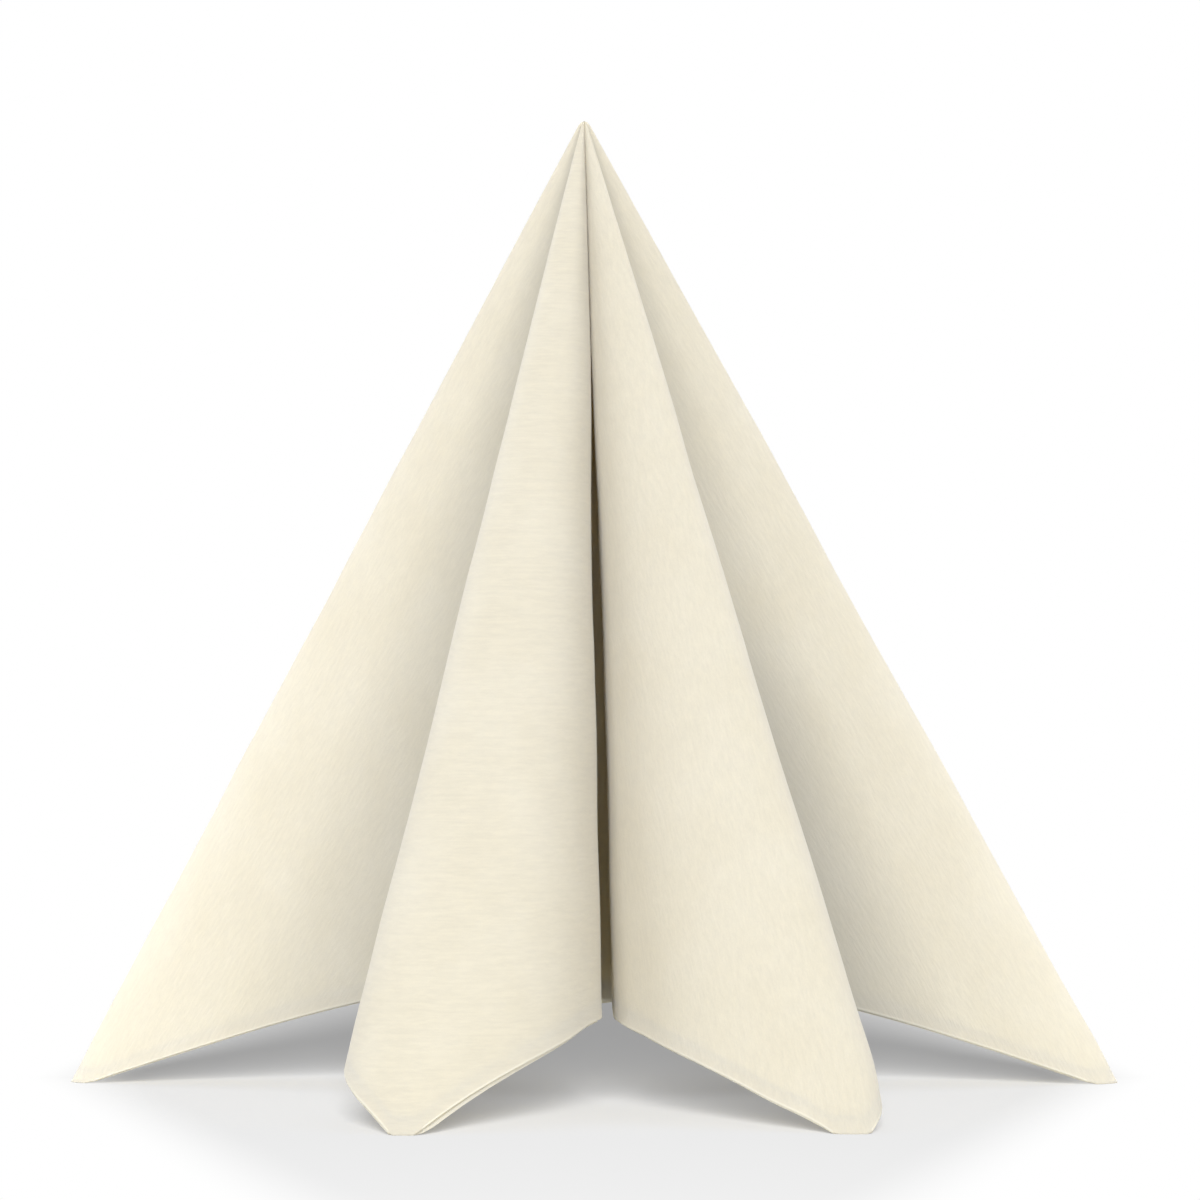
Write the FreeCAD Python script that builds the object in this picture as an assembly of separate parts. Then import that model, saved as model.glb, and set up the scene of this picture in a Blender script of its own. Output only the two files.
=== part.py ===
import FreeCAD, Part
import math
import os

# Sizes are in millimetres and angles in degrees.
# Z is up, the floor is at zero, and the origin is in the middle of the footprint.
# A turn is measured from the front, which is minus Y, and grows to the right.
sheet_side = 400.0
sheet_thickness = 0.3
peak_height = 226.0

# Length of each ridge that is lost at its corner, where the sheet ends level on the floor.
front_foot = 4.2
back_foot = 6.6

# Which way each ridge points.
front_left_turn = -13.1
front_right_turn = 19.4
back_left_turn = -128.4
back_right_turn = 125.3

# The four pressed creases run down close to the upright through the point.
# Each has a turn, and stands out by a share of how far the ridge on its left stands out.
front_crease_turn = 50.0
front_crease_out = 0.0436
right_crease_turn = 100.0
right_crease_out = 0.097
back_crease_turn = 170.0
back_crease_out = 0.1495
left_crease_turn = -105.0
left_crease_out = 0.0746

# Roundness of the folds, as a share of how far the ridge beside them stands out.
# Each ridge has a left and a right side, seen from in front of that leg.
front_left_round_left = 0.295
front_left_round_right = 0.406
front_right_round_left = 0.455
front_right_round_right = 0.22
back_round_front = 0.114
back_round_back = 0.597
crease_round = 0.084

# The rounded ends of three legs are turned a little to one side.
front_left_twist = 8.0
front_right_twist = -27.0
back_right_twist = -20.0

# How the slack paper is shared along a wall: one is even, and more leaves it by the crease.
front_slack = 0.87
back_slack = 1.38

# Depth of the blunt end below the point.
blunt_depth = 2.5

# How far the front ridges stand out where the solid tip of pressed folds ends inside,
# and where the folds have room for the full thickness outside.
tip_spread = 10.8
full_spread = 28.8

# Flat strips that make up the bend of one wall, down to the sheet's free edge
# and where the wall stands on the floor.
wall_strips = 16
foot_strips = 3

# Steps for measuring the paper along a bend, and for finding where its edge meets the floor.
length_steps = 400
search_steps = 50

peak = FreeCAD.Vector(0, 0, peak_height)
half_side = sheet_side / 2.0
half_diagonal = half_side * math.sqrt(2.0)
half_thickness = sheet_thickness / 2.0
eighth_turn = math.pi / 4.0


def ridge_reach(foot):
    """How far a ridge stands out at one unit of depth, so that its corner comes down to the floor."""
    length = half_diagonal - foot
    return math.sqrt(length * length - peak_height * peak_height) / peak_height


def ray(turn, reach):
    """Line from the point that stands out this far at one unit of depth."""
    angle = math.radians(turn - 90.0)
    return FreeCAD.Vector(reach * math.cos(angle), reach * math.sin(angle), -1)


def level_unit(vector):
    """Level direction of a vector, with length one."""
    flat = FreeCAD.Vector(vector.x, vector.y, 0)
    return flat.normalize()


def quarter_left(vector):
    """Level vector turned a quarter to the left."""
    return FreeCAD.Vector(-vector.y, vector.x, 0)


def turned(vector, angle):
    """Level vector turned by an angle."""
    cosine = math.cos(math.radians(angle))
    sine = math.sin(math.radians(angle))
    return FreeCAD.Vector(vector.x * cosine - vector.y * sine, vector.x * sine + vector.y * cosine, 0)


def bend(poles, share):
    """Line of a wall's smooth bend, from its crease at 0 to its ridge at 1."""
    rest = 1.0 - share
    return (poles[0] * rest ** 3 + poles[1] * (3 * rest * rest * share)
            + poles[2] * (3 * rest * share * share) + poles[3] * share ** 3)


def used_angles(poles):
    """Angle of paper between the crease and each of many even steps of the bend."""
    angles = [0.0]
    last = bend(poles, 0.0)
    for step in range(1, length_steps + 1):
        line = bend(poles, step / length_steps)
        angles.append(angles[-1] + last.getAngle(line))
        last = line
    return angles


def edge_depth(poles, angles, slack, share):
    """Depth below the point where this line of the wall meets the sheet's edge."""
    place = share * length_steps
    low = min(int(place), length_steps - 1)
    angle = angles[low] + (angles[low + 1] - angles[low]) * (place - low)
    from_ridge = angles[-1] - angle
    missing = eighth_turn - angles[-1]
    from_middle = eighth_turn - from_ridge - missing * (from_ridge / angles[-1]) ** slack
    return half_side / math.cos(from_middle) / bend(poles, share).Length


def floor_share(poles, angles, slack):
    """Share of the wall where the sheet's edge comes down to the floor."""
    low = 0.0
    high = 1.0
    for step in range(search_steps):
        share = (low + high) / 2.0
        if edge_depth(poles, angles, slack, share) < peak_height:
            low = share
        else:
            high = share
    return high


def wall(crease, crease_side, ridge, ridge_side, slack):
    """Lines of one wall from crease to ridge, each with the depth where the sheet ends."""
    poles = [crease, crease + crease_side, ridge + ridge_side, ridge]
    angles = used_angles(poles)
    contact = floor_share(poles, angles, slack)
    lines = []
    for station in range(wall_strips):
        share = contact * (1.0 - math.cos(math.pi * station / wall_strips)) / 2.0
        lines.append((bend(poles, share), edge_depth(poles, angles, slack, share)))
    for station in range(foot_strips + 1):
        share = contact + (1.0 - contact) * station / foot_strips
        lines.append((bend(poles, share), peak_height))
    return lines


def fold_lines():
    """Lines of all the walls once round, from crease to ridge to crease, leg by leg."""
    front_reach = ridge_reach(front_foot)
    back_reach = ridge_reach(back_foot)
    reaches = [front_reach, front_reach, back_reach, back_reach]
    ridges = [ray(front_left_turn, front_reach), ray(front_right_turn, front_reach),
              ray(back_right_turn, back_reach), ray(back_left_turn, back_reach)]
    creases = [ray(front_crease_turn, front_crease_out * reaches[0]),
               ray(right_crease_turn, right_crease_out * reaches[1]),
               ray(back_crease_turn, back_crease_out * reaches[2]),
               ray(left_crease_turn, left_crease_out * reaches[3])]
    twists = [front_left_twist, front_right_twist, back_right_twist, 0.0]
    slacks = [front_slack, front_slack, back_slack, back_slack]
    rounds_before = [front_left_round_left, front_right_round_left, back_round_front, back_round_back]
    rounds_after = [front_left_round_right, front_right_round_right, back_round_back, back_round_front]
    crease_sides = []
    for leg in range(4):
        crease = creases[leg]
        way = level_unit(ridges[leg] - crease) + level_unit(ridges[(leg + 1) % 4] - crease)
        crease_sides.append(quarter_left(level_unit(way)) * (crease_round * reaches[leg]))
    lines = []
    for leg in range(4):
        ridge = ridges[leg]
        ridge_side = turned(quarter_left(ridge), twists[leg])
        before = wall(creases[leg - 1], crease_sides[leg - 1], ridge,
                      ridge_side * -rounds_before[leg], slacks[leg])
        after = wall(creases[leg], crease_sides[leg] * -1, ridge,
                     ridge_side * rounds_after[leg], slacks[leg])
        lines.extend(before[:-1])
        lines.extend(reversed(after[1:]))
    return lines


def face_offsets(lines):
    """Offset at each line from the sheet's middle to its outside, shared by the strips beside it."""
    count = len(lines)
    normals = []
    for index in range(count):
        normal = lines[index][0].cross(lines[(index + 1) % count][0])
        normals.append(normal.normalize())
    offsets = []
    for index in range(count):
        both = normals[index - 1] + normals[index]
        offsets.append(both * (half_thickness / (1.0 + normals[index - 1].dot(normals[index]))))
    return offsets


def level_point(line, offset, depth):
    """Where a line, moved by an offset, crosses the level at a depth below the point."""
    return peak + line * (depth + offset.z) + offset


def polygon_face(points):
    """Flat face with these corners."""
    return Part.Face(Part.makePolygon(points + points[:1]))


def edge_points(lines, offsets, side):
    """Corners of the outside or inside face along the sheet's edge."""
    points = []
    for (line, depth), offset in zip(lines, offsets):
        moved = offset * side
        if depth == peak_height:
            points.append(level_point(line, moved, depth))
        else:
            points.append(peak + line * depth + moved)
    return points


def napkin():
    """The folded sheet, standing on its four corners."""
    lines = fold_lines()
    offsets = face_offsets(lines)
    count = len(lines)
    tip_depth = tip_spread / ridge_reach(front_foot)
    full_depth = full_spread / ridge_reach(front_foot)
    full = [level_point(line, offset, full_depth) for (line, depth), offset in zip(lines, offsets)]
    blunt = [peak + (point - peak) * (blunt_depth / full_depth) for point in full]
    tip = [level_point(line, offset * -1, tip_depth) for (line, depth), offset in zip(lines, offsets)]
    outer = edge_points(lines, offsets, 1)
    inner = edge_points(lines, offsets, -1)
    faces = [polygon_face(blunt), polygon_face(tip)]
    foot = []
    for index in range(count):
        after = (index + 1) % count
        faces.append(polygon_face([blunt[index], blunt[after], full[after], full[index]]))
        faces.append(polygon_face([full[index], full[after], outer[after], outer[index]]))
        faces.append(polygon_face([tip[index], tip[after], inner[after], inner[index]]))
        if lines[index][1] == peak_height and lines[after][1] == peak_height:
            foot.append(index)
        else:
            faces.append(Part.makeRuledSurface(Part.makeLine(outer[index], outer[after]),
                                               Part.makeLine(inner[index], inner[after])))
    for start in range(0, len(foot), 2 * foot_strips):
        stretch = foot[start:start + 2 * foot_strips] + [foot[start + 2 * foot_strips - 1] + 1]
        faces.append(polygon_face([outer[index] for index in stretch]
                                  + [inner[index] for index in reversed(stretch)]))
    shell = Part.makeShell(faces)
    shell.sewShape()
    solid = Part.makeSolid(shell)
    if solid.Volume < 0:
        solid.reverse()
    footprint = solid.BoundBox.Center
    solid.translate(FreeCAD.Vector(-footprint.x, -footprint.y, 0))
    return solid


os.makedirs("parts", exist_ok=True)
sheet = napkin()
sheet.exportStep("parts/napkin.step")
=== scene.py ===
import bpy
import math
import numpy as np
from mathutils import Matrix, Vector, noise


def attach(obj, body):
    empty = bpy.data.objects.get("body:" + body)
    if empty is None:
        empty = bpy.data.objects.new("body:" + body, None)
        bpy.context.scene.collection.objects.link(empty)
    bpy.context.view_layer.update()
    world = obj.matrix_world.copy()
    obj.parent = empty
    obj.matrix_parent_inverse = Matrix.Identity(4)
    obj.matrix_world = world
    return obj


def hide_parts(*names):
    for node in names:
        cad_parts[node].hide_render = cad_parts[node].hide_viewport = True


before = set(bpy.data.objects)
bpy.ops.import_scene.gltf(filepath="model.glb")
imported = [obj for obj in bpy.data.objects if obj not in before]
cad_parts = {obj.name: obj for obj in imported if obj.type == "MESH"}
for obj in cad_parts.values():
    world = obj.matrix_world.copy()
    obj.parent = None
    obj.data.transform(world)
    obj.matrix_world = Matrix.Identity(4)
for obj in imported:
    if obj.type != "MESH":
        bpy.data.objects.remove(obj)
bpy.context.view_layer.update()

MM = 0.001             # in metres

# The folded sheet, as in the part's source, in millimetres and degrees.
# All its folds run down from the point. A length is measured from there along the paper.
SHEET = 400.0
HALF_SIDE = SHEET / 2.0
HALF_DIAGONAL = SHEET / math.sqrt(2.0)
EIGHTH_TURN = math.pi / 4.0
PEAK = np.array([-2.2205, 24.8968, 226.0])

# One value for each leg: front left, front right, back right, back left.
FEET = [4.2, 4.2, 6.6, 6.6]                    # length of ridge lost at the corner
TURNS = [-13.1, 19.4, 125.3, -128.4]           # which way the ridge points
ROUND_BEFORE = [0.295, 0.455, 0.114, 0.597]    # roundness of the wall before the ridge
ROUND_AFTER = [0.406, 0.22, 0.597, 0.114]      # roundness of the wall after it
TWISTS = [8.0, -27.0, -20.0, 0.0]              # turn of the rounded end
SLACK = [0.87, 0.87, 1.38, 1.38]               # over 1, more of the slack lies by the crease
# The crease after each leg: its turn, and how far it stands out as a share of that leg.
CREASES = [(50.0, 0.0436), (100.0, 0.097), (170.0, 0.1495), (-105.0, 0.0746)]
CREASE_ROUND = 0.084
BACK_RIGHT = 2

# Walls by leg, and by whether the wall lies before its ridge or after it.
LEFT_OF_SLIT = (0, True)
RIGHT_OF_SLIT = (1, False)
FIRST_FRONT = (0, False)
LAST_FRONT = (1, True)

# A column's share is 0 in the crease and 1 on the ridge.
WALL_COLUMNS = 44
BEND_STEPS = 1601      # for measuring the paper along a bend
FACE_ROWS = 96
FACE_CROWDING = 1.35   # over 1, the rows crowd towards the edge
BACK_ROWS = 60
BACK_CROWDING = 0.8

# The folds end a little below the point, with rounded ends outside and inside.
FRONT_END = 3.3
BACK_END = 2.9
CREASE_END = 1.7
CREASE_SHARE = 0.25    # share by which the crease's end has become the leg's
INSIDE_END = 1.2       # how much lower they end inside
OUTER_RISE = 1.0
INNER_RISE = 0.2
HALFWAY_RISE = 0.22

# Width of the front slit at some depths below the point.
SLIT_DEPTHS = [0.0, 20.0, 56.0, 75.0, 92.0, 119.0, 150.0, 177.0, 205.0]
SLIT_WIDTHS = [0.0, 0.01, 0.02, 0.9, 1.9, 2.6, 2.8, 3.0, 3.2]
SLIT_NEAR = 0.055      # columns nearer the other wall than this, at one unit of depth, are moved
SLIT_NEARING = 0.035   # and wholly so once they are nearer by this much
NOT_NEAR = 9.0
SLIT_STEPS = 12        # for finding the nearest place between two columns

# A change along a wall has the share where it begins and the share over which it grows.
# The two walls beside the slit hang lower at the notch, and this fades towards the ridge.
NOTCH_DROP = 3.4
NOTCH_FADE = (0.40, 0.24)
# The two front corners are not folded quite true, so the edge is a little off beside each ridge:
# the wall, the change of length, and its shares.
CORNERS = [
    (LEFT_OF_SLIT, -1.1, (0.55, 0.20)),
    (RIGHT_OF_SLIT, -1.8, (0.91, 0.07)),
    (LAST_FRONT, 3.2, (0.70, 0.22)),
    (FIRST_FRONT, -0.9, (0.92, 0.06)),
]
# The second front foot curls in just above the floor, and more past its ridge.
CURL = 0.8
CURL_HEIGHT = 16.0
CURL_GROWTH = (0.5, 0.3)
MORE_CURL = 0.7
MORE_CURL_FADE = (0.8, 0.2)

# The two plies, and how they part along the free edge.
PLY = 0.14
FULL_LENGTH = 40.0     # they have their full thickness from this length on
SEAM = 4.5             # they part this far from the edge
GAP = (0.35, 0.7)      # how far the inner ply stands off at least, and at most beyond that
REACH = (0.30, 0.75)   # and how far it reaches past the outer ply
UNEVEN_REACH = 0.10    # with this much more or less from place to place
GAP_NOISE = (3.0, 5.0)      # level and scale of the noise that both follow
REACH_NOISE = (7.0, 9.0)    # and of the one that makes the reach uneven
REACH_POWER = 40       # the higher, the sooner the reach is lost away from the edge
GAP_GROWTH = 6.0       # the gap is full from a sixth of the wall on
GAP_FADE = 7.0         # distance from the edge over which the gap closes
OUTER_GAP = 0.12       # part of the gap that moves the outer ply out
INNER_GAP = -0.9       # and the inner ply in
SMALL_GAP = 0.35       # share of the gap on all the walls but the one left of the slit
FLOOR_GAP = 0.35       # share of the gap where the edge stands on the floor
CLEAR_OF_FLOOR = 3.0   # the edge is free once it ends this much short of the floor

# The paper is never quite straight between its folds: size, level of the noise and its scale.
SWELLS = [(0.55, 11.0, 0.018), (0.16, 29.0, 0.06)]
SWELL_LENGTH = 120.0   # length from the point over which it grows
SWELL_GROWTH = 3.0     # it is full from a third of the wall on
SWELL_HEIGHT = 14.0    # height above the floor over which it grows
SWELL_LEAST = 0.15     # start of that growth on the floor
STIFF_DEPTH = 100.0    # above this depth the pressed walls beside the slit swell less
STIFF_FADE = 40.0      # and not at all this much higher

# Painted light values: the painted highlight on the cut edge, and painted shade that is darkest in
# the back right leg's fold, low down.
FAR_FROM_EDGE = 9.0
PAINTED_FOLD_SHADE = 0.28
PAINTED_SHADE_FADE = (0.45, 0.35)
PAINTED_SHADE_DEPTHS = (105.0, 40.0)       # where it begins, and over which depth it grows
STROKES = np.array([2.2, 1.0])    # the crepe's strokes are shorter on all but the first leg

# Cream tissue: its deeper and its paler tone, the painted highlight on its cut edge and the light
# through it.
PAPER_DEEP = (0.872, 0.838, 0.735, 1.0)
PAPER_PALE = (0.922, 0.902, 0.838, 1.0)
PAPER_EDGE_HIGHLIGHT = (0.97, 0.955, 0.89, 1.0)
PAPER_THROUGH = (1.0, 0.92, 0.55, 1.0)
FLOOR_GREY = (0.82, 0.82, 0.82, 1.0)
LEANING_GREY = (0.40, 0.40, 0.40, 1.0)
WORLD_STRENGTH = 0.38
PHOTO_PIXELS = 1200.0
FOCAL_PIXELS = 6109.4
SENSOR_WIDTH = 36.0


def ray(turn, reach):
    """Level vector with this turn from the front and this length."""
    angle = math.radians(turn - 90.0)
    return np.array([reach * math.cos(angle), reach * math.sin(angle)])


def unit(v):
    return v / np.linalg.norm(v)


def left(v):
    """Level vector turned a quarter to the left."""
    return np.array([-v[1], v[0]])


def turned(v, angle):
    """Level vector turned by an angle."""
    c = math.cos(math.radians(angle))
    s = math.sin(math.radians(angle))
    return np.array([v[0] * c - v[1] * s, v[0] * s + v[1] * c])


def smooth(x):
    """Soft step that rises from 0 at 0 to 1 at 1."""
    x = np.clip(x, 0.0, 1.0)
    return x * x * (3.0 - 2.0 * x)


def growth(x, start, over):
    """Soft step that rises from 0 at the start to 1 this much further."""
    return smooth((x - start) / over)


def swell(x, y, level, scale):
    """Soft noise between -1 and 1."""
    return noise.noise(Vector((x, y, level)) * scale)


def bend(poles, t):
    """Places and slopes along a wall's smooth bend, at one unit of depth."""
    t = t[:, None]
    r = 1.0 - t
    place = (poles[0] * r ** 3 + poles[1] * 3 * r * r * t
             + poles[2] * 3 * r * t * t + poles[3] * t ** 3)
    slope = ((poles[1] - poles[0]) * 3 * r * r + (poles[2] - poles[1]) * 6 * r * t
             + (poles[3] - poles[2]) * 3 * t * t)
    return place, slope


def directions(place):
    """Directions from the point to places at one unit of depth, with length one."""
    n = np.c_[place, -np.ones(len(place))]
    return n / np.linalg.norm(n, axis=1)[:, None]


def wall_poles(leg, after):
    """Poles of a wall's bend, from its crease to its ridge."""
    lengths = [HALF_DIAGONAL - foot for foot in FEET]
    reaches = [math.sqrt(length ** 2 - PEAK[2] ** 2) / PEAK[2] for length in lengths]
    ridges = [ray(turn, reach) for turn, reach in zip(TURNS, reaches)]
    creases = [ray(turn, out * reach) for (turn, out), reach in zip(CREASES, reaches)]
    if after:
        crease, reach, other = creases[leg], reaches[leg], ridges[(leg + 1) % 4]
        side, roundness = 1.0, ROUND_AFTER[leg]
    else:
        crease, reach, other = creases[leg - 1], reaches[leg - 1], ridges[leg - 1]
        side, roundness = -1.0, -ROUND_BEFORE[leg]
    ridge = ridges[leg]
    way = unit(unit(ridge - crease) + unit(other - crease))
    return [crease, crease - left(way) * CREASE_ROUND * reach * side,
            ridge + turned(left(ridge), TWISTS[leg]) * roundness, ridge]


def wall(leg, after):
    """Columns of one wall, counter-clockwise: from its crease before the ridge, to it after."""
    poles = wall_poles(leg, after)
    steps = np.linspace(0.0, 1.0, BEND_STEPS)
    n = directions(bend(poles, steps)[0])
    used = np.r_[0.0, np.cumsum(np.arccos(np.clip((n[1:] * n[:-1]).sum(1), -1, 1)))]
    t = (1.0 - np.cos(np.pi * np.linspace(0.0, 1.0, WALL_COLUMNS))) / 2.0
    place, slope = bend(poles, t)
    from_ridge = used[-1] - np.interp(t, steps, used)
    missing = EIGHTH_TURN - used[-1]
    unfolded = EIGHTH_TURN - (from_ridge + missing * (from_ridge / used[-1]) ** SLACK[leg])
    normal = np.cross(np.c_[place, -np.ones(len(t))], np.c_[slope, np.zeros(len(t))])
    normal /= np.linalg.norm(normal, axis=1)[:, None]
    if after:
        normal = -normal
    flat = math.pi / 2 * leg + EIGHTH_TURN
    flat = flat + (EIGHTH_TURN - unfolded if after else unfolded - EIGHTH_TURN)
    columns = dict(n=directions(place), normal=normal, unfolded=unfolded, flat=flat,
                   share=unfolded / EIGHTH_TURN,
                   leg=np.full(len(t), leg), after=np.full(len(t), after))
    if after:
        columns = {key: values[::-1] for key, values in columns.items()}
    return columns


def ring():
    """All columns once round, counter-clockwise from the left crease."""
    parts = []
    for leg in range(4):
        for after in (False, True):
            parts.append({key: values[:-1] for key, values in wall(leg, after).items()})
    return {key: np.concatenate([part[key] for part in parts]) for key in parts[0]}


def on_wall(c, name):
    """Which columns belong to a wall."""
    leg, after = name
    return (c["leg"] == leg) & (c["after"] == after)


def slit_sides(c):
    """For each column beside the front slit: how near the other side is, and which way.

    Both are measured at one unit of depth.
    """
    plan = c["n"][:, :2] / -c["n"][:, 2:]
    sides = [on_wall(c, LEFT_OF_SLIT), on_wall(c, RIGHT_OF_SLIT)]
    near = np.full(len(plan), NOT_NEAR)
    toward = np.zeros((len(plan), 3))
    between = np.linspace(0.0, 1.0, SLIT_STEPS)[:, None, None]
    for own, other in (sides, sides[::-1]):
        line = plan[other]
        line = (line[:-1] * (1.0 - between) + line[1:] * between).reshape(-1, 2)
        for i in np.where(own)[0]:
            apart = line - plan[i]
            size = np.hypot(apart[:, 0], apart[:, 1])
            k = int(np.argmin(size))
            near[i] = size[k]
            toward[i, :2] = apart[k] / max(size[k], 1e-9)
    return near, toward


def edge_lengths(c):
    """Length of each column down to the sheet's free edge."""
    share = c["share"]
    edge = HALF_SIDE / np.cos(c["unfolded"])
    beside_slit = on_wall(c, LEFT_OF_SLIT) | on_wall(c, RIGHT_OF_SLIT)
    edge = edge + np.where(beside_slit, NOTCH_DROP * (1.0 - growth(share, *NOTCH_FADE)), 0.0)
    for name, change, shares in CORNERS:
        edge = edge + np.where(on_wall(c, name), change * growth(share, *shares), 0.0)
    return edge


def parted_plies(c, free):
    """How far the inner ply stands off and reaches past the outer one along the edge."""
    count = len(c["leg"])
    gap = np.empty(count)
    reach = np.empty(count)
    for i, angle in enumerate(c["flat"]):
        x, y = np.cos(angle), np.sin(angle)
        wide = swell(x, y, *GAP_NOISE) * 0.5 + 0.5
        main = 1.0 if (c["leg"][i], c["after"][i]) == LEFT_OF_SLIT else SMALL_GAP
        gap[i] = main * (GAP[0] + GAP[1] * wide)
        reach[i] = main * (REACH[0] + REACH[1] * wide) + UNEVEN_REACH * swell(x, y, *REACH_NOISE)
    gap = gap * (FLOOR_GAP + (1.0 - FLOOR_GAP) * free) * smooth(c["share"] * GAP_GROWTH)
    return gap, reach * free


def sheet_rows():
    """Rows of the closed sheet, down its outside, round its parted edge and up its inside.

    Each has its place as a share of the way to the edge, its distance back from the edge,
    its offset in plies, its part of the gap, and its part of the inner ply's reach.
    """
    rows = []
    for k in range(FACE_ROWS + 1):
        down = 1.0 - (1.0 - k / FACE_ROWS) ** FACE_CROWDING
        rows.append((down, 0.0, 1.0, OUTER_GAP, 0.0))
    rows += [
        (1.0, 0.0, 0.12, OUTER_GAP, 0.0),
        (1.0, SEAM / 3.0, 0.03, 0.08, 0.0),
        (1.0, SEAM, 0.0, 0.0, 0.0),
        (1.0, SEAM / 3.0, -0.03, INNER_GAP, 0.0),
        (1.0, 0.0, -0.12, INNER_GAP, 1.0),
        (1.0, 0.0, -1.0, INNER_GAP, 1.0),
    ]
    for k in range(1, BACK_ROWS + 1):
        down = 1.0 - (k / BACK_ROWS) ** BACK_CROWDING
        rows.append((down, 0.0, -1.0, INNER_GAP, down ** REACH_POWER))
    return rows


def sheet_points(c):
    """Points of the rows in millimetres, their places on the flat sheet, and painted light and
    shade values.
    """
    share = c["share"]
    down = -c["n"][:, 2]
    edge = edge_lengths(c)
    floor = PEAK[2] / down
    on_floor = edge > floor
    edge = np.minimum(edge, floor)
    gap, reach = parted_plies(c, np.where(on_floor, 0.0, smooth((floor - edge) / CLEAR_OF_FLOOR)))
    near, toward = slit_sides(c)
    beside_slit = smooth((SLIT_NEAR - near) / SLIT_NEARING)
    front = np.isin(c["leg"], (0, 1))
    top = np.where(front, FRONT_END, BACK_END)
    top = top + (CREASE_END - top) * (1.0 - smooth(share / CREASE_SHARE))
    past_ridge = 1.0 - growth(share, *MORE_CURL_FADE)
    curl = np.where(on_wall(c, LAST_FRONT), CURL + MORE_CURL * past_ridge,
                    np.where(on_wall(c, RIGHT_OF_SLIT), CURL, 0.0))
    by_ridge = growth(share, *CURL_GROWTH)
    # Painted shade, strongest in the fold of the back right leg.
    painted_shade_share = PAINTED_FOLD_SHADE * (1.0 - growth(share, *PAINTED_SHADE_FADE))
    painted_shade_share = np.where(c["leg"] == BACK_RIGHT, painted_shade_share, 0.0)
    ux, uy = np.cos(c["flat"]), np.sin(c["flat"])

    rows = sheet_rows()
    points = np.zeros((len(rows), len(share), 3))
    flat = np.zeros((len(rows), len(share), 2))
    rim = np.zeros((len(rows), len(share), 2))
    for j, (way, back, plies, part, past) in enumerate(rows):
        r = top + (edge - top) * way - back + reach * past
        if plies == -1.0:
            r = np.maximum(r, top + INSIDE_END)
        depth = r * down
        from_edge = np.maximum(edge - r, 0.0)
        full = np.clip(r / FULL_LENGTH, 0.0, 1.0)
        apart = gap * np.clip(1.0 - from_edge / GAP_FADE, 0.0, 1.0) ** 2
        soft = np.array([sum(size * swell(x, y, level, scale) for size, level, scale in SWELLS)
                         for x, y in zip(ux * r, uy * r)])
        soft *= (smooth(r / SWELL_LENGTH) * smooth(share * SWELL_GROWTH)
                 * smooth((PEAK[2] - depth) / SWELL_HEIGHT + SWELL_LEAST))
        soft *= 1.0 - beside_slit * smooth((STIFF_DEPTH - depth) / STIFF_FADE)
        offset = plies * PLY * full + part * apart + soft
        # The front slit is pressed shut at the top, and springs open below.
        wanted = np.interp(depth, SLIT_DEPTHS, SLIT_WIDTHS)
        shift = (near * depth - 2.0 * PLY * full - wanted) / 2.0 * beside_slit
        point = (PEAK + c["n"] * r[:, None] + c["normal"] * offset[:, None]
                 + toward * shift[:, None])
        point[:, 0] -= curl * (smooth(1.0 - point[:, 2] / CURL_HEIGHT) * by_ridge)
        if way == 1.0 and back == 0.0:
            point[on_floor, 2] = 0.0
        point[:, 2] = np.maximum(point[:, 2], 0.0)
        points[j] = point
        flat[j] = np.c_[ux * r, uy * r]
        # Painted light values: distance from the cut edge for the painted highlight, and for the
        # back legs their share less the painted shade.
        rim[j, :, 0] = np.where(on_floor, FAR_FROM_EDGE, from_edge)
        shade = painted_shade_share * growth(depth, *PAINTED_SHADE_DEPTHS)
        rim[j, :, 1] = np.where(front, 1.0, share - shade)
    return points, flat, rim


def closed_faces(points):
    """Corners in metres and faces of the rows, closed at the point by two rounded ends."""
    nrows, count = points.shape[:2]
    corners = (points.reshape(-1, 3) * MM).tolist()
    faces = []
    for j in range(nrows - 1):
        for i in range(count):
            k = (i + 1) % count
            faces.append((j * count + i, (j + 1) * count + i, (j + 1) * count + k, j * count + k))
    for j, rise, inside in ((0, OUTER_RISE, False), (nrows - 1, INNER_RISE, True)):
        centre = points[j].mean(axis=0) + np.array([0.0, 0.0, rise])
        half = len(corners)
        halfway = (points[j] + centre) / 2.0 + np.array([0.0, 0.0, HALFWAY_RISE])
        corners.extend((halfway * MM).tolist())
        corners.append((centre * MM).tolist())
        for i in range(count):
            k = (i + 1) % count
            for face in ((j * count + i, half + i, half + k, j * count + k),
                         (half + i, half + count, half + k)):
                faces.append(face if inside else face[::-1])
    return corners, faces


def crepe_run(c, flat, heights):
    """The crepe's run in metres: level across the first leg, and along each of the others."""
    crepe = np.zeros(flat.shape)
    for leg in range(4):
        own = c["leg"] == leg
        turn = -(math.pi / 2 * leg + EIGHTH_TURN)
        rot = np.array([[math.cos(turn), -math.sin(turn)], [math.sin(turn), math.cos(turn)]])
        along = flat[:, own] @ rot.T
        if leg == 0:
            crepe[:, own] = np.stack([along[:, :, 1], heights[:, own]], axis=2)
        else:
            crepe[:, own] = along * STROKES
    return crepe


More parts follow.
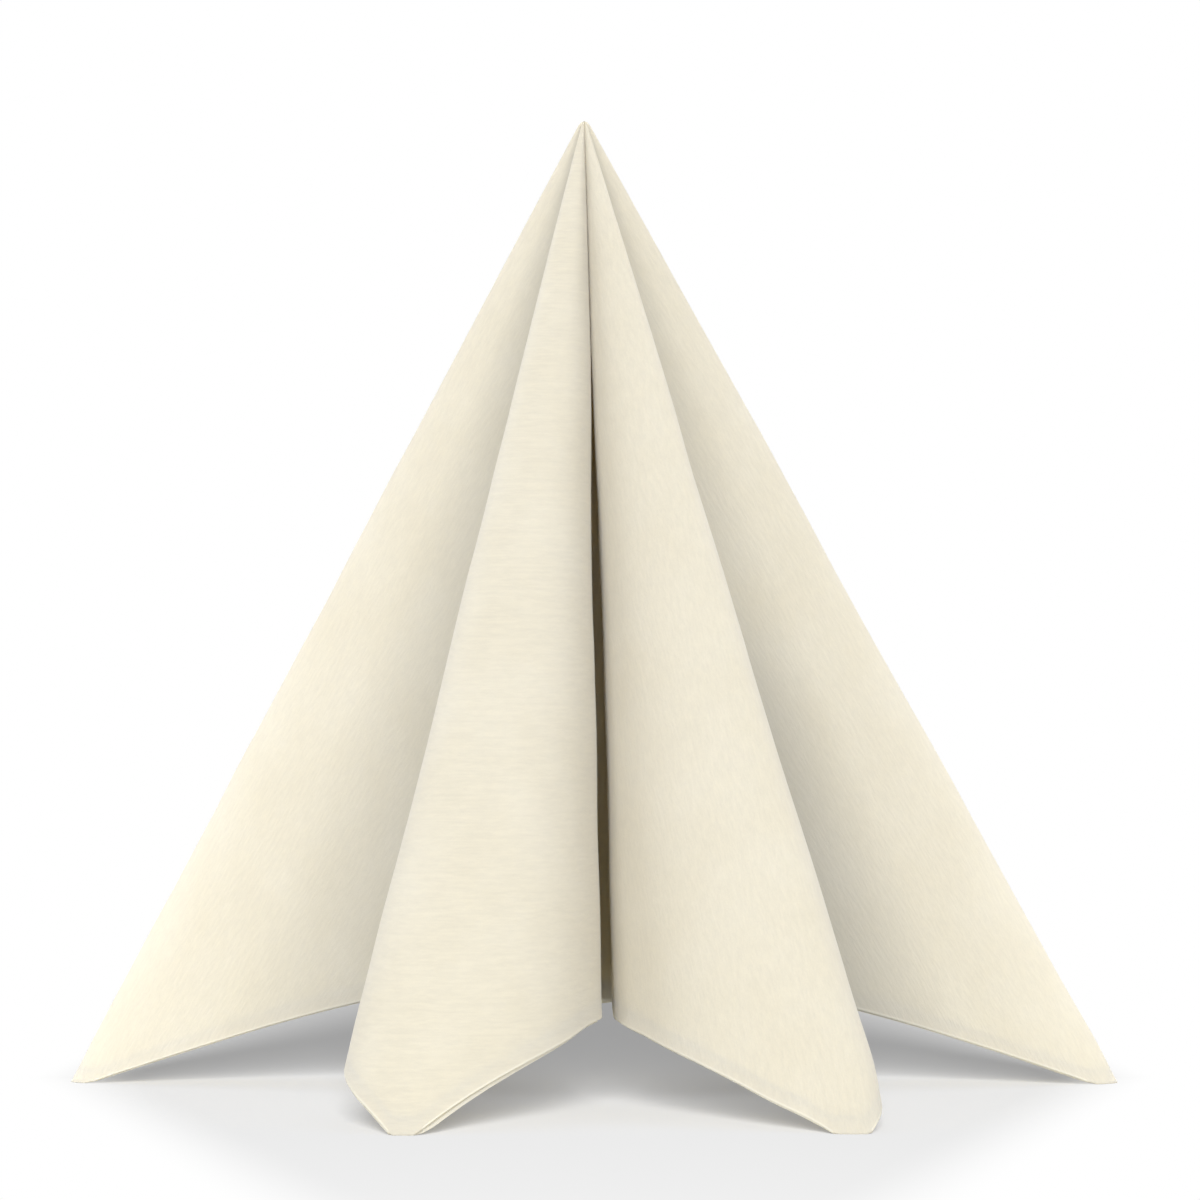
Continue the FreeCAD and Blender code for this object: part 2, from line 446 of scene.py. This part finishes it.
def build_sheet():
    """The folded napkin: two plies that part along the free edge, as one closed mesh."""
    c = ring()
    points, flat, rim = sheet_points(c)
    corners, faces = closed_faces(points)
    mesh = bpy.data.meshes.new("folded_sheet")
    mesh.from_pydata(corners, [], faces)
    loops = np.empty(len(mesh.loops), dtype=np.int64)
    mesh.loops.foreach_get("vertex_index", loops)
    flat = flat * MM
    # Each layer has a value for the rounded ends too.
    for name, values, ends in (("sheet", flat, (0.0, 0.0)),
                               ("crepe", crepe_run(c, flat, points[:, :, 2] * MM), (0.0, 0.0)),
                               ("rim", rim, (FAR_FROM_EDGE, 1.0))):
        values = values.reshape(-1, 2)
        ends = np.tile(ends, (len(corners) - len(values), 1))
        layer = mesh.uv_layers.new(name=name)
        layer.data.foreach_set("uv", np.concatenate([values, ends])[loops].ravel())
    mesh.polygons.foreach_set("use_smooth", [True] * len(mesh.polygons))
    mesh.validate()
    mesh.update()
    piece = bpy.data.objects.new("folded_sheet", mesh)
    bpy.context.scene.collection.objects.link(piece)
    return piece


def add_node(tree, kind, values=None, **settings):
    """New node with some of its settings and some of its inputs' values."""
    node = tree.nodes.new(kind)
    for name, value in settings.items():
        setattr(node, name, value)
    for name, value in (values or {}).items():
        node.inputs[name].default_value = value
    return node


def paper():
    """Cream tissue with fine crepe, a cut edge painted paler as a highlight, painted shade in the
    back folds and some light coming through.
    """
    mat = bpy.data.materials.new("napkin_tissue")
    mat.use_nodes = True
    tree = mat.node_tree
    link = tree.links.new
    sheet = add_node(tree, "ShaderNodeUVMap", uv_map="sheet").outputs["UV"]
    crepe = add_node(tree, "ShaderNodeUVMap", uv_map="crepe").outputs["UV"]

    def stretched(source, x, y):
        mapping = add_node(tree, "ShaderNodeMapping", {"Scale": (x, y, 1.0)})
        link(source, mapping.inputs["Vector"])
        return mapping.outputs["Vector"]

    def noisy(vector, scale, detail, rough):
        texture = add_node(tree, "ShaderNodeTexNoise",
                           {"Scale": scale, "Detail": detail, "Roughness": rough})
        link(vector, texture.inputs["Vector"])
        return texture.outputs["Fac"]

    def levels(value, low, high):
        """The middle of a noise's values spread between two levels."""
        spread = add_node(tree, "ShaderNodeMapRange",
                          {"From Min": 0.35, "From Max": 0.65, "To Min": low, "To Max": high})
        link(value, spread.inputs["Value"])
        return spread.outputs["Result"]

    def times(first, second):
        product = add_node(tree, "ShaderNodeVectorMath", operation='MULTIPLY')
        link(first, product.inputs[0])
        link(second, product.inputs[1])
        return product.outputs["Vector"]

    # Crepe: fine wavy lines about a millimetre apart and some 9 mm long.
    lines = noisy(stretched(crepe, 110.0, 950.0), 1.0, 3.0, 0.6)
    fine = noisy(stretched(crepe, 420.0, 1900.0), 1.0, 1.0, 0.5)
    fibre = noisy(sheet, 2600.0, 3.0, 0.6)
    cloud = noisy(sheet, 45.0, 3.0, 0.5)
    patch = noisy(sheet, 90.0, 2.0, 0.5)
    tone = add_node(tree, "ShaderNodeMix", {"A": PAPER_DEEP, "B": PAPER_PALE}, data_type='RGBA')
    link(cloud, tone.inputs["Factor"])
    # Faint painted shade and light along the crepe's lines and finer strokes.
    colour = times(tone.outputs["Result"], levels(lines, 0.966, 1.008))
    colour = times(colour, levels(fine, 0.985, 1.005))
    colour = times(colour, levels(fibre, 0.985, 1.005))

    rim = add_node(tree, "ShaderNodeUVMap", uv_map="rim").outputs["UV"]
    split = add_node(tree, "ShaderNodeSeparateXYZ")
    link(rim, split.inputs["Vector"])
    # The cut edge is painted a little paler, as a painted highlight.
    painted_edge_highlight = add_node(tree, "ShaderNodeMapRange", {"From Min": 0.9, "From Max": 0.3},
                    interpolation_type='SMOOTHSTEP')
    link(split.outputs["X"], painted_edge_highlight.inputs["Value"])
    with_edge_highlight = add_node(tree, "ShaderNodeMix", {"B": PAPER_EDGE_HIGHLIGHT}, data_type='RGBA')
    link(painted_edge_highlight.outputs["Result"], with_edge_highlight.inputs["Factor"])
    link(colour, with_edge_highlight.inputs["A"])
    # Painted shade: the paper is painted a little darker far into the folds of the two back legs.
    painted_fold_shade = add_node(tree, "ShaderNodeMapRange",
                    {"From Min": 0.12, "From Max": 0.75, "To Min": 0.67})
    link(split.outputs["Y"], painted_fold_shade.inputs["Value"])
    colour = times(with_edge_highlight.outputs["Result"], painted_fold_shade.outputs["Result"])

    # The crepe stands out more in some places than in others.
    waves = add_node(tree, "ShaderNodeBump", {"Distance": 0.00014})
    link(levels(patch, 0.3, 1.0), waves.inputs["Strength"])
    link(lines, waves.inputs["Height"])
    grain = add_node(tree, "ShaderNodeBump", {"Strength": 0.5, "Distance": 0.00005})
    link(fibre, grain.inputs["Height"])
    link(waves.outputs["Normal"], grain.inputs["Normal"])

    surface = tree.nodes["Principled BSDF"]
    for name, value in (("Roughness", 0.92), ("Specular IOR Level", 0.2),
                        ("Diffuse Roughness", 0.6), ("Sheen Weight", 0.6),
                        ("Sheen Roughness", 0.45)):
        surface.inputs[name].default_value = value
    link(colour, surface.inputs["Base Color"])
    link(grain.outputs["Normal"], surface.inputs["Normal"])
    # Thin tissue lets some light through, and warms it.
    warm = add_node(tree, "ShaderNodeRGB")
    warm.outputs["Color"].default_value = PAPER_THROUGH
    through = add_node(tree, "ShaderNodeBsdfTranslucent")
    link(times(colour, warm.outputs["Color"]), through.inputs["Color"])
    link(grain.outputs["Normal"], through.inputs["Normal"])
    both = add_node(tree, "ShaderNodeMixShader", {"Fac": 0.32})
    link(surface.outputs["BSDF"], both.inputs[1])
    link(through.outputs["BSDF"], both.inputs[2])
    link(both.outputs["Shader"], tree.nodes["Material Output"].inputs["Surface"])
    return mat


def floor_paint():
    """Pale grey around the napkin that fades into the white background."""
    mat = bpy.data.materials.new("floor_paint")
    mat.use_nodes = True
    tree = mat.node_tree
    tree.nodes.clear()
    link = tree.links.new

    def maths(operation, first, second=0.0):
        node = add_node(tree, "ShaderNodeMath", operation=operation)
        for socket, value in zip(node.inputs, (first, second)):
            if isinstance(value, float):
                socket.default_value = value
            else:
                link(value, socket)
        return node.outputs["Value"]

    def fade(value, start, end):
        node = add_node(tree, "ShaderNodeMapRange", {"From Min": start, "From Max": end},
                        interpolation_type='SMOOTHSTEP')
        link(value, node.inputs["Value"])
        return node.outputs["Result"]

    def mixed(factor, first, second):
        node = add_node(tree, "ShaderNodeMixShader")
        link(factor, node.inputs["Fac"])
        link(first, node.inputs[1])
        link(second, node.inputs[2])
        return node.outputs["Shader"]

    diffuse = add_node(tree, "ShaderNodeBsdfDiffuse", {"Color": FLOOR_GREY})
    # Seen directly, the floor takes the low front light as if it leaned towards it.
    leaning = add_node(tree, "ShaderNodeBsdfDiffuse", {"Color": LEANING_GREY})
    way = add_node(tree, "ShaderNodeCombineXYZ", {"Y": -0.70, "Z": 0.71})
    link(way.outputs["Vector"], leaning.inputs["Normal"])
    glow = add_node(tree, "ShaderNodeEmission", {"Strength": 0.23})
    near = add_node(tree, "ShaderNodeAddShader")
    link(leaning.outputs["BSDF"], near.inputs[0])
    link(glow.outputs["Emission"], near.inputs[1])
    white = add_node(tree, "ShaderNodeEmission")
    # The grey is a little wider than the napkin, and narrower towards the front.
    place = add_node(tree, "ShaderNodeNewGeometry")
    split = add_node(tree, "ShaderNodeSeparateXYZ")
    link(place.outputs["Position"], split.inputs["Vector"])
    border = maths('ADD', maths('MULTIPLY', split.outputs["Y"], 0.157), 0.104)
    border = maths('MINIMUM', border, 0.127)
    beside = maths('SUBTRACT', maths('ABSOLUTE', split.outputs["X"]), border)
    far = fade(maths('ABSOLUTE', split.outputs["Y"]), 0.75, 1.15)
    away = maths('MAXIMUM', fade(beside, -0.014, 0.014), far)
    seen = mixed(away, near.outputs["Shader"], white.outputs["Emission"])
    path = add_node(tree, "ShaderNodeLightPath")
    paint = mixed(path.outputs["Is Camera Ray"], diffuse.outputs["BSDF"], seen)
    out = add_node(tree, "ShaderNodeOutputMaterial")
    link(paint, out.inputs["Surface"])
    return mat


def stage_floor():
    """Wide floor under the napkin, which reaches far behind it."""
    bpy.ops.mesh.primitive_plane_add(size=40.0, location=(0.0, 10.0, 0.0))
    floor = bpy.context.object
    floor.name = "floor"
    floor.data.materials.append(floor_paint())
    return floor


def world_light(strength):
    """Even light from all round, in front of a white background."""
    world = bpy.data.worlds.new("studio")
    bpy.context.scene.world = world
    world.use_nodes = True
    tree = world.node_tree
    back = tree.nodes["Background"]
    back.inputs["Color"].default_value = (1.0, 1.0, 1.0, 1.0)
    path = add_node(tree, "ShaderNodeLightPath")
    mix = add_node(tree, "ShaderNodeMapRange", {"To Min": strength, "To Max": 1.0})
    tree.links.new(path.outputs["Is Camera Ray"], mix.inputs["Value"])
    tree.links.new(mix.outputs["Result"], back.inputs["Strength"])


def aim(thing, place, look):
    """Puts a lamp or the camera in its place, facing along a direction."""
    thing.location = place
    thing.rotation_euler = look.to_track_quat('-Z', 'Y').to_euler()
    bpy.context.scene.collection.objects.link(thing)


def lamp(name, place, target, size, power, lit):
    """Soft lamp that shines on one object only."""
    data = bpy.data.lights.new(name, 'AREA')
    data.shape = 'RECTANGLE'
    data.size, data.size_y = size
    data.energy = power
    light = bpy.data.objects.new(name, data)
    light.visible_camera = False
    only = bpy.data.collections.new(name + "_lights")
    only.objects.link(lit)
    light.light_linking.receiver_collection = only
    aim(light, place, Vector(target) - Vector(place))


def photo_camera():
    """Camera fitted to the photo's outlines: low in front, and looking up a little."""
    data = bpy.data.cameras.new("camera")
    data.sensor_fit = 'HORIZONTAL'
    data.sensor_width = SENSOR_WIDTH
    data.lens = FOCAL_PIXELS / PHOTO_PIXELS * SENSOR_WIDTH
    data.clip_end = 50.0
    camera = bpy.data.objects.new("camera", data)
    yaw = math.radians(0.148)
    pitch = math.radians(2.065)
    level = math.cos(pitch)
    look = Vector((math.sin(yaw) * level, math.cos(yaw) * level, math.sin(pitch)))
    aim(camera, (-0.00219, -1.37510, 0.06387), look)
    bpy.context.scene.camera = camera


photo_camera()
napkin = build_sheet()
napkin.data.materials.append(paper())
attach(napkin, "root")
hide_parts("napkin")
floor = stage_floor()
world_light(WORLD_STRENGTH)
# Name, place, target, width and height, power, and what it shines on.
lamp("low_front", (0.0, -9.6, 1.04), (0.0, 0.0, 0.0), (1.2, 1.92), 3250.0, floor)
lamp("front", (0.0, -1.7, 0.65), (0.0, 0.0, 0.08), (2.2, 0.9), 32.0, napkin)
lamp("left", (-0.32, 0.09, 0.10), (-0.07, 0.04, 0.08), (0.2, 0.30), 0.72, napkin)
lamp("right", (0.32, 0.12, 0.10), (0.07, 0.05, 0.08), (0.2, 0.30), 0.62, napkin)
lamp("back", (0.0, 1.7, 0.75), (0.0, 0.0, 0.10), (1.6, 1.0), 15.0, napkin)
bpy.context.scene.view_settings.view_transform = 'Standard'
